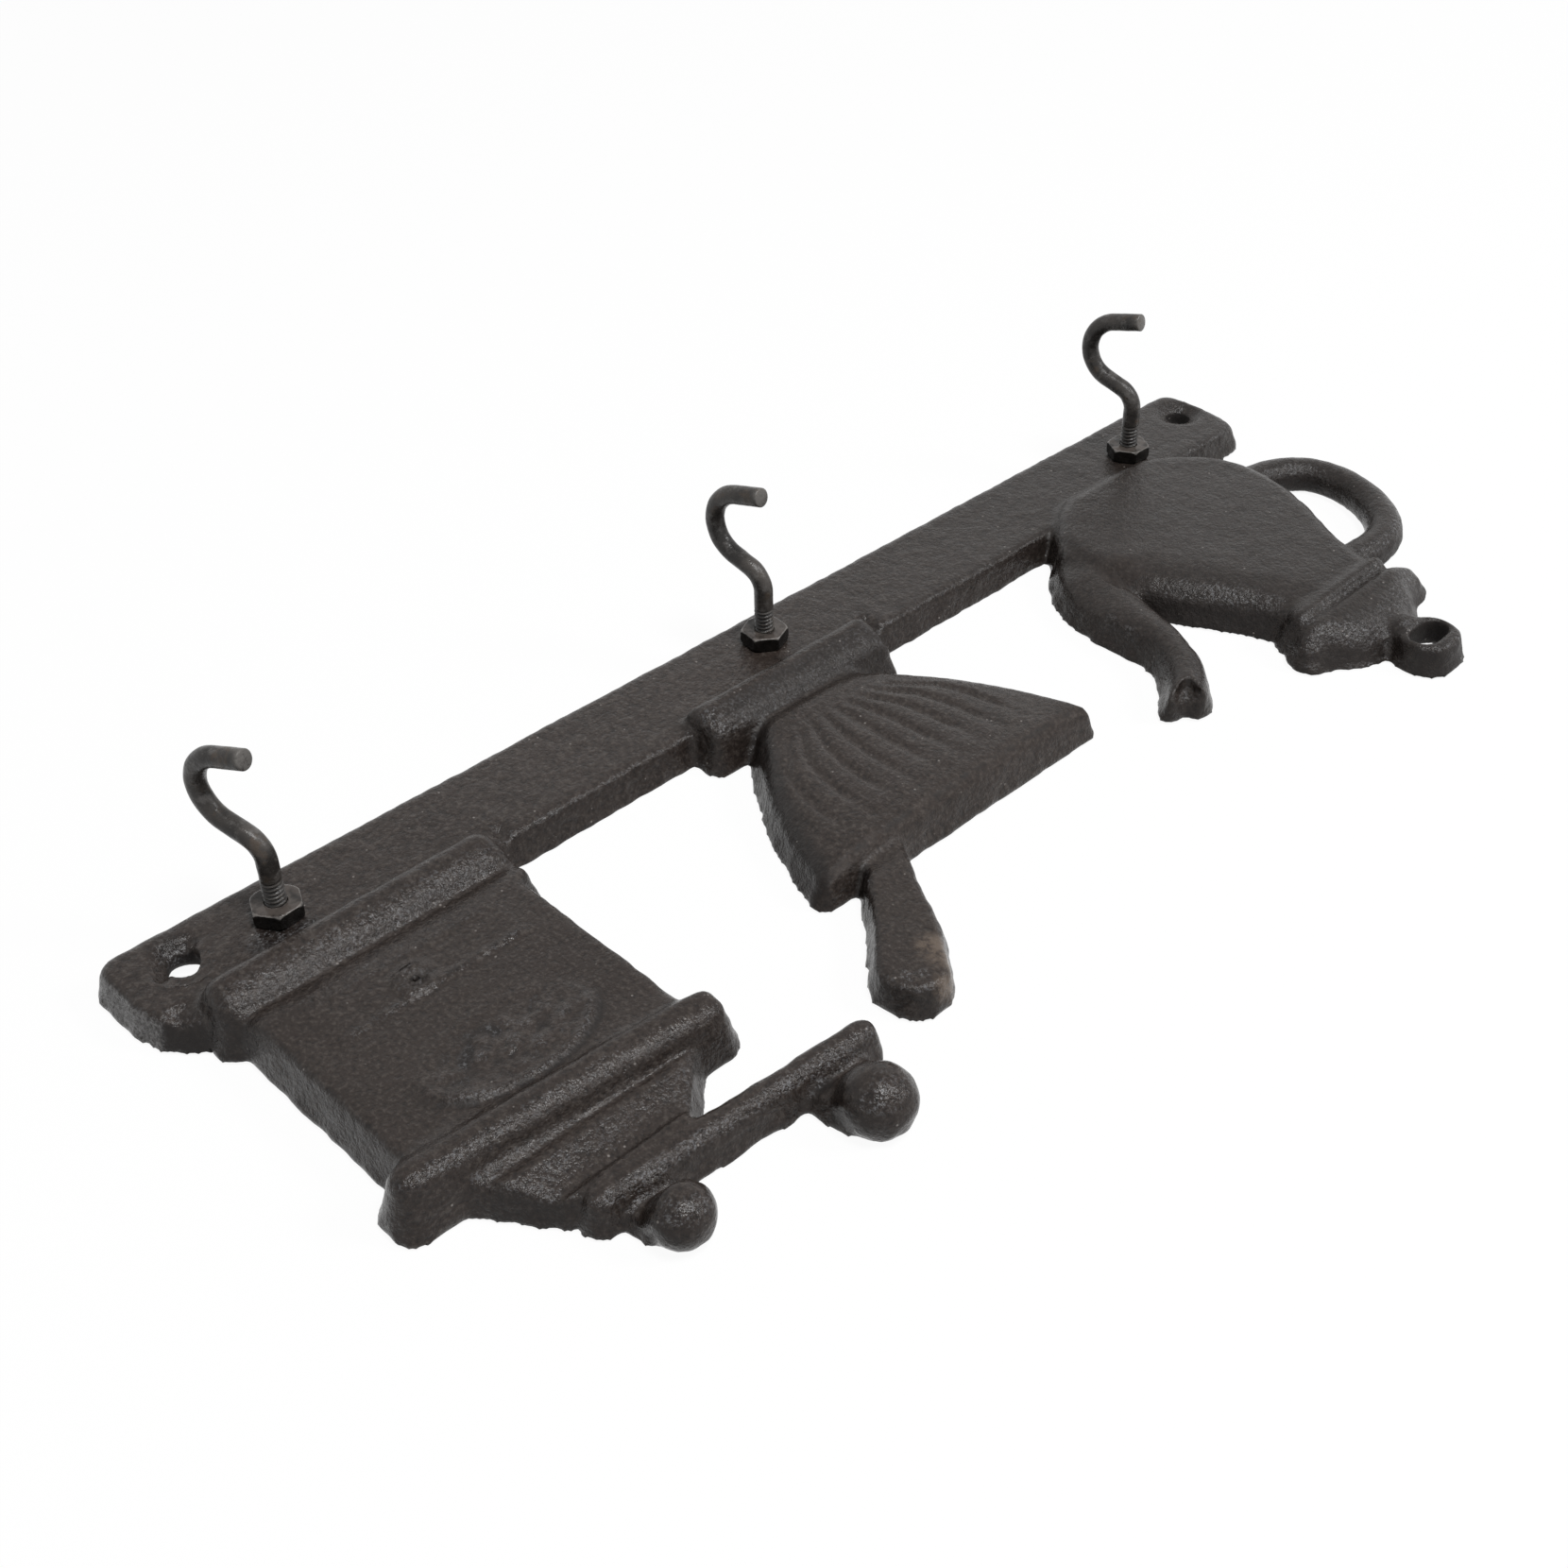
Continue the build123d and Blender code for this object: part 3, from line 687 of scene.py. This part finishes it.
def cast_skin():
    obj = remeshed("casting", "casting_skin", CASTING_VOXEL)
    mesh = obj.data
    points, normals = read_points(mesh)
    points = shape_forms(points, normals)
    for places, rounds in ((soft_places, 6), (lid_ends, 18), (creases, 12)):
        points = soften(mesh, points, places(points), rounds)
    write_points(mesh, points)
    points, normals = read_points(mesh)
    at = find_places(points, normals)
    points = rough_cast(points, normals, at)
    write_points(mesh, points)
    find_shading(points, normals, at)
    for name, values in (("slope", at.steep), ("cave", cave_values(at)),
                         ("shade", shade_values(points, normals, at)), ("ball", spots(points, BALLS)),
                         ("glint_paint", painted_glint_values(points, normals, at)),
                         ("pale", at.rail_end), ("wear", spots(points, PESTLE_WEAR)),
                         ("smear", spots(points, SMEARS))):
        float_layer(mesh, name, values)
    return obj


def hook_path():
    """Points (out, drop, heading) along the hook, closely spaced on the thread and the bends."""
    path = [(out, 0.0, 0.0) for out in np.arange(STEM_START, FINE_END, THREAD_STEP)]
    path += [(out, 0.0, 0.0) for out in np.linspace(PLAIN_START, STEM_REACH, PLAIN_STEPS)]
    out, drop, turn = STEM_REACH, 0.0, 0.0
    bends = ((UPPER_BEND, UPPER_ANGLE, SLOPE, 1), (LOWER_BEND, LOWER_ANGLE, TIP, -1))
    for radius, angle, length, sign in bends:
        centre = (out - sign * radius * math.sin(turn), drop + sign * radius * math.cos(turn))
        for k in range(1, BEND_STEPS + 1):
            t = turn + sign * angle * k / BEND_STEPS
            path.append((centre[0] + sign * radius * math.sin(t), centre[1] - sign * radius * math.cos(t), t))
        out, drop, turn = path[-1]
        for k in range(1, RUN_STEPS + 1):
            run = length * k / RUN_STEPS
            path.append((out + math.cos(turn) * run, drop + math.sin(turn) * run, turn))
        out, drop, turn = path[-1]
    return path


def wire_points(path, shift):
    """Points round the path as (side, out, drop), each with its share of bare tip and of thread valley."""
    rows = []
    length = 0.0
    total = sum(math.dist(a[:2], b[:2]) for a, b in zip(path, path[1:]))
    for n, (out, drop, turn) in enumerate(path):
        if n:
            length += math.dist(path[n - 1][:2], (out, drop))
        threaded = 1 - step(THREAD_END - THREAD_FADE, THREAD_END, np.array(out)) if drop == 0 else 0.0
        tip = step(total - BARE_TIP[0], total - BARE_TIP[1], np.array(length))
        for k in range(AROUND):
            angle = 2 * math.pi * k / AROUND
            tooth = abs(((out / THREAD_PITCH - k / AROUND) % 1.0) * 2 - 1)
            cut = THREAD_DEPTH * (1 - min(1.0, THREAD_CREST * tooth))
            plain = WIRE + WIRE_UNEVEN * noise.noise(Vector((out * 0.5, drop * 0.5, angle + shift)))
            r = plain + threaded * (THREAD_R - cut - plain)
            up = math.sin(angle) * r
            place = (math.cos(angle) * r, out + math.sin(turn) * up, drop - math.cos(turn) * up)
            rows.append((place, tip, threaded * (cut / THREAD_DEPTH) ** 0.6))
    out, drop, turn = path[-1]
    for radius, push in TIP_RINGS:
        for k in range(AROUND):
            angle = 2 * math.pi * k / AROUND
            up = math.sin(angle) * radius
            place = (math.cos(angle) * radius, out + math.cos(turn) * push + math.sin(turn) * up,
                     drop + math.sin(turn) * push - math.cos(turn) * up)
            rows.append((place, 1.0, 0.0))
    end = TIP_RINGS[-1][1]
    rows.append(((0.0, out + math.cos(turn) * end, drop + math.sin(turn) * end), 1.0, 0.0))
    rows.append(((0.0, STEM_START, 0.0), 0.0, 0.0))
    return rows


def hook(side):
    x, z, lean = HOOKS[side]
    lean = math.radians(lean)
    path = hook_path()
    rows = wire_points(path, 9 * x)
    rings = len(path) + len(TIP_RINGS)
    faces = []
    for n in range(rings - 1):
        for k in range(AROUND):
            near, far = n * AROUND, (n + 1) * AROUND
            after = (k + 1) % AROUND
            faces.append((near + k, near + after, far + after, far + k))
    last = (rings - 1) * AROUND
    faces += [(last + k, last + (k + 1) % AROUND, rings * AROUND) for k in range(AROUND)]
    faces += [((k + 1) % AROUND, k, rings * AROUND + 1) for k in range(AROUND)]
    verts = [((x + drop * math.sin(lean) + across * math.cos(lean)) * MM, -out * MM,
              (z - drop * math.cos(lean) + across * math.sin(lean)) * MM)
             for (across, out, drop), _, _ in rows]
    obj = new_mesh_object(f"hook_wire_{side}", verts, faces)
    float_layer(obj.data, "tip", [tip for _, tip, _ in rows])
    float_layer(obj.data, "valley", [valley for _, _, valley in rows])
    bm = bmesh.new()
    bm.from_mesh(obj.data)
    bmesh.ops.recalc_face_normals(bm, faces=bm.faces)
    bm.to_mesh(obj.data)
    bm.free()
    return obj


def nut(side):
    obj = remeshed(f"nut_{side}", f"lock_nut_{side}", NUT_VOXEL)
    points, normals = read_points(obj.data)
    uneven = 0.06 * lumps(points, 2.6, 5.5) + 0.05 * lumps(points, 1.2, 8.5)
    write_points(obj.data, points + normals * uneven[:, None])
    tilt = np.degrees(np.arccos(np.clip(-normals[:, 1], -1, 1)))
    # The top faces, where light is painted, and the chamfered rim, where a highlight is painted
    float_layer(obj.data, "top", 1 - step(20, 50, tilt))
    float_layer(obj.data, "rim", within(tilt, 24, 66, 9))
    return obj


class Nodes:
    """The node tree of a material or the world, with short calls to add nodes and join them."""

    def __init__(self, owner):
        owner.use_nodes = True
        self.tree = owner.node_tree
        self.tree.nodes.clear()

    def add(self, kind, **settings):
        node = self.tree.nodes.new(kind)
        for key, value in settings.items():
            setattr(node, key, value)
        return node

    def put(self, socket, value):
        if isinstance(value, bpy.types.NodeSocket):
            self.tree.links.new(value, socket)
        else:
            socket.default_value = value

    def noise(self, where, scale, detail=2.0, rough=0.5):
        """Noise with about scale bumps to the metre."""
        node = self.add("ShaderNodeTexNoise")
        self.put(node.inputs["Vector"], where)
        node.inputs["Scale"].default_value = scale
        node.inputs["Detail"].default_value = detail
        node.inputs["Roughness"].default_value = rough
        return node.outputs["Fac"]

    def cells(self, where, scale):
        node = self.add("ShaderNodeTexVoronoi")
        self.put(node.inputs["Vector"], where)
        node.inputs["Scale"].default_value = scale
        return node.outputs["Distance"]

    def ramp(self, value, low, high, to_low=0.0, to_high=1.0):
        node = self.add("ShaderNodeMapRange", interpolation_type="SMOOTHSTEP")
        self.put(node.inputs["Value"], value)
        for key, number in (("From Min", low), ("From Max", high), ("To Min", to_low), ("To Max", to_high)):
            self.put(node.inputs[key], number)
        return node.outputs["Result"]

    def math(self, operation, a, b):
        node = self.add("ShaderNodeMath", operation=operation)
        self.put(node.inputs[0], a)
        self.put(node.inputs[1], b)
        return node.outputs[0]

    def times(self, a, b):
        return self.math("MULTIPLY", a, b)

    def plus(self, a, b):
        return self.math("ADD", a, b)

    def minus(self, a, b):
        return self.math("SUBTRACT", a, b)

    def blend(self, share, a, b):
        node = self.add("ShaderNodeMix", data_type="RGBA")
        self.put(node.inputs[0], share)
        self.put(node.inputs[6], a)
        self.put(node.inputs[7], b)
        return node.outputs[2]

    def mix(self, share, a, b):
        """One shader or another."""
        node = self.add("ShaderNodeMixShader")
        for socket, value in zip(node.inputs, (share, a, b)):
            self.put(socket, value)
        return node.outputs[0]

    def where(self):
        return self.add("ShaderNodeTexCoord").outputs["Object"]

    def layer(self, name):
        return self.add("ShaderNodeAttribute", attribute_name=name).outputs["Fac"]

    def bump(self, height, strength, distance):
        node = self.add("ShaderNodeBump")
        self.put(node.inputs["Height"], height)
        self.put(node.inputs["Strength"], strength)
        node.inputs["Distance"].default_value = distance
        return node.outputs["Normal"]

    def seen(self):
        """1 for rays that show the background itself, straight or in a reflection."""
        path = self.add("ShaderNodeLightPath").outputs
        seen = self.math("MAXIMUM", path["Is Camera Ray"], path["Is Glossy Ray"])
        return self.math("MAXIMUM", seen, path["Is Transmission Ray"])

    def end(self, kind, surface):
        self.put(self.add(kind).inputs["Surface"], surface)

    def paint(self, color, roughness, normal, specular):
        shader = self.add("ShaderNodeBsdfPrincipled")
        for key, value in (("Base Color", color), ("Roughness", roughness), ("Metallic", 0.0),
                           ("Specular IOR Level", specular), ("Normal", normal)):
            self.put(shader.inputs[key], value)
        self.end("ShaderNodeOutputMaterial", shader.outputs[0])


def iron_paint():
    material = bpy.data.materials.new("black_iron_paint")
    n = Nodes(material)
    where = n.where()
    glint_paint, smear, ball = n.layer("glint_paint"), n.layer("smear"), n.layer("ball")
    mottle = n.noise(where, 420.0, 3.0, 0.65)
    grain = n.noise(where, 1250.0, 3.0, 0.62)
    grit = n.noise(where, 3600.0, 1.0, 0.5)
    fleck = n.noise(where, 1700.0, 3.0, 0.68)
    # Cloudy brown black with lighter grains and dark pores, darker in the shade
    color = n.blend(n.ramp(n.noise(where, 60.0, 3.0, 0.6), 0.3, 0.7), IRON_DARK, IRON_WARM)
    color = n.blend(n.ramp(grain, 0.50, 0.68, 0.0, 0.72), color, IRON_GRAIN)
    color = n.blend(n.ramp(grain, 0.32, 0.48, 0.75, 0.0), color, IRON_PORE)
    # Cloudy brown black with lighter grains and dark pores, darkened where shade is painted on walls, corners
    # and hollows
    color = n.blend(n.times(n.layer("shade"), 0.85), color, IRON_SHADE)
    # Painted glints as bright flecks with painted shade in dark pits, on slopes towards the light, raised
    # relief and marked spots, and painted light on the rail's end wall
    color = n.blend(n.times(glint_paint, n.ramp(fleck, 0.36, 0.47, 0.75, 0.0)), color, IRON_PIT_SHADE)
    patch = n.ramp(n.noise(where, 240.0, 2.0, 0.6), 0.35, 0.62, 0.35, 1.0)
    color = n.blend(n.times(n.times(glint_paint, patch), n.ramp(fleck, 0.51, 0.64, 0.0, 0.9)), color, IRON_GLINT)
    color = n.blend(n.times(n.layer("pale"), n.ramp(fleck, 0.40, 0.62, 0.10, 0.85)), color, IRON_END_LIGHT)
    # Scattered specks of dust, and rust where the paint has chipped off
    dusty = n.ramp(n.noise(where, 260.0), 0.57, 0.64)
    dust = n.times(n.ramp(n.cells(where, 620.0), 0.08, 0.16, 1.0, 0.0), dusty)
    color = n.blend(n.times(dust, 0.5), color, IRON_DUST)
    rust = n.blend(n.noise(where, 900.0), RUST_DARK, RUST_PALE)
    chipped = n.times(n.layer("wear"), n.ramp(n.noise(where, 480.0, 4.0, 0.7), 0.30, 0.55))
    color = n.blend(n.times(chipped, 0.8), color, rust)
    rough = n.ramp(mottle, 0.3, 0.75, 0.13, 0.27)
    rough = n.minus(rough, n.times(smear, 0.06))
    rough = n.minus(rough, n.times(ball, 0.05))
    rough = n.plus(rough, n.times(n.layer("cave"), 0.6))
    height = n.plus(n.times(mottle, 0.7), n.times(grain, 0.9))
    height = n.plus(height, n.times(grit, 0.12))
    height = n.plus(height, n.times(n.noise(where, 700.0, 1.0, 0.4), n.times(smear, 1.6)))
    strength = n.plus(n.times(glint_paint, 0.14), 0.30)
    strength = n.plus(strength, n.times(n.layer("slope"), 0.10))
    strength = n.times(strength, n.ramp(ball, 0.0, 1.0, 1.0, 0.62))
    n.paint(color, rough, n.bump(height, strength, 0.0009), specular=0.22)
    return material


def wire_paint():
    material = bpy.data.materials.new("hook_wire_paint")
    n = Nodes(material)
    where = n.where()
    fine = n.noise(where, 900.0, 3.0, 0.6)
    color = n.blend(n.ramp(n.noise(where, 180.0, 3.0, 0.6), 0.35, 0.7), WIRE_DARK, WIRE_GREY)
    # Lighter streaks, partly random tone and partly painted reflection
    color = n.blend(n.ramp(n.noise(where, 420.0, 4.0, 0.7), 0.50, 0.68, 0.0, 0.7), color, WIRE_STREAK_SHEEN)
    bare = n.times(n.layer("tip"), n.ramp(fine, 0.25, 0.5))
    color = n.blend(n.times(bare, 0.6), color, WIRE_BARE)
    color = n.blend(n.ramp(n.noise(where, 330.0, 3.0, 0.65), 0.56, 0.70, 0.0, 0.6), color, WIRE_RUST)
    # Painted shade in the thread's valleys
    color = n.blend(n.times(n.layer("valley"), 0.9), color, WIRE_GROOVE_SHADE)
    n.paint(color, n.ramp(fine, 0.3, 0.75, 0.22, 0.46), n.bump(fine, 0.35, 0.0004), specular=0.3)
    return material


def nut_paint():
    material = bpy.data.materials.new("lock_nut_gloss")
    n = Nodes(material)
    fine = n.noise(n.where(), 520.0, 3.0, 0.6)
    color = n.blend(n.ramp(fine, 0.3, 0.7), NUT_DARK, NUT_BLACK)
    dull = n.ramp(fine, 0.28, 0.58, 0.25, 1.0)
    # Painted light on the top faces and a painted highlight on the chamfered rim
    color = n.blend(n.times(n.layer("top"), dull), color, NUT_LIT_TOP)
    color = n.blend(n.times(n.layer("rim"), n.times(dull, 0.8)), color, NUT_RIM_HIGHLIGHT)
    n.paint(color, n.ramp(fine, 0.3, 0.75, 0.08, 0.22), n.bump(fine, 0.3, 0.0005), specular=0.22)
    return material


def dress(obj, material, node):
    obj.data.materials.clear()
    obj.data.materials.append(material)
    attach(obj, "root")
    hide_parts(node)


def table():
    """The pale sheet that the part lies on. It can be seen through from behind."""
    signs = ((-1, -1), (1, -1), (1, 1), (-1, 1))
    corners = [(x * TABLE_HALF, TABLE_GAP, z * TABLE_HALF) for x, z in signs]
    obj = new_mesh_object("table", corners, [(0, 1, 2, 3)])
    material = bpy.data.materials.new("table_paper")
    n = Nodes(material)
    seen = n.seen()
    paper = n.add("ShaderNodeBsdfDiffuse")
    n.put(paper.inputs["Color"], n.blend(seen, PAPER, WHITE))
    white = n.add("ShaderNodeEmission")
    n.put(white.inputs["Color"], WHITE)
    front = n.mix(n.times(seen, PAPER_GLOW), paper.outputs[0], white.outputs[0])
    backfacing = n.add("ShaderNodeNewGeometry").outputs["Backfacing"]
    sheet = n.mix(backfacing, front, n.add("ShaderNodeBsdfTransparent").outputs[0])
    n.end("ShaderNodeOutputMaterial", sheet)
    obj.data.materials.append(material)
    obj.visible_shadow = False


def studio():
    """Soft even light from all round, with three lamps, on a background that shows white."""
    world = bpy.data.worlds.new("studio")
    bpy.context.scene.world = world
    n = Nodes(world)
    lights = []
    for strength in (WORLD_LIGHT, 1.0):
        light = n.add("ShaderNodeBackground")
        n.put(light.inputs["Color"], WHITE)
        n.put(light.inputs["Strength"], strength)
        lights.append(light.outputs[0])
    n.end("ShaderNodeOutputWorld", n.mix(n.seen(), *lights))
    for name, (place, width, power) in LAMPS.items():
        data = bpy.data.lights.new(name, "AREA")
        data.shape = "DISK"
        data.size = width
        data.energy = power
        lamp = link(bpy.data.objects.new(name, data))
        lamp.location = place
        lamp.rotation_euler = (Vector(LAMP_AIM) - Vector(place)).to_track_quat("-Z", "Y").to_euler()


def camera():
    data = bpy.data.cameras.new("photo_view")
    data.lens = LENS
    data.sensor_width = SENSOR
    data.clip_start = CLIP_START
    turn = Matrix((Vector(CAMERA_RIGHT), -Vector(CAMERA_DOWN), -Vector(CAMERA_AHEAD))).transposed()
    obj = link(bpy.data.objects.new("photo_view", data))
    obj.matrix_world = Matrix.Translation(Vector(CAMERA_PLACE) * MM) @ turn.to_4x4()
    bpy.context.scene.camera = obj


iron, wire, gloss = iron_paint(), wire_paint(), nut_paint()
dress(cast_skin(), iron, "casting")
for side in SIDES:
    dress(hook(side), wire, f"hook_{side}")
    dress(nut(side), gloss, f"nut_{side}")
table()
studio()
camera()
bpy.context.scene.view_settings.view_transform = "Standard"
bpy.context.view_layer.update()
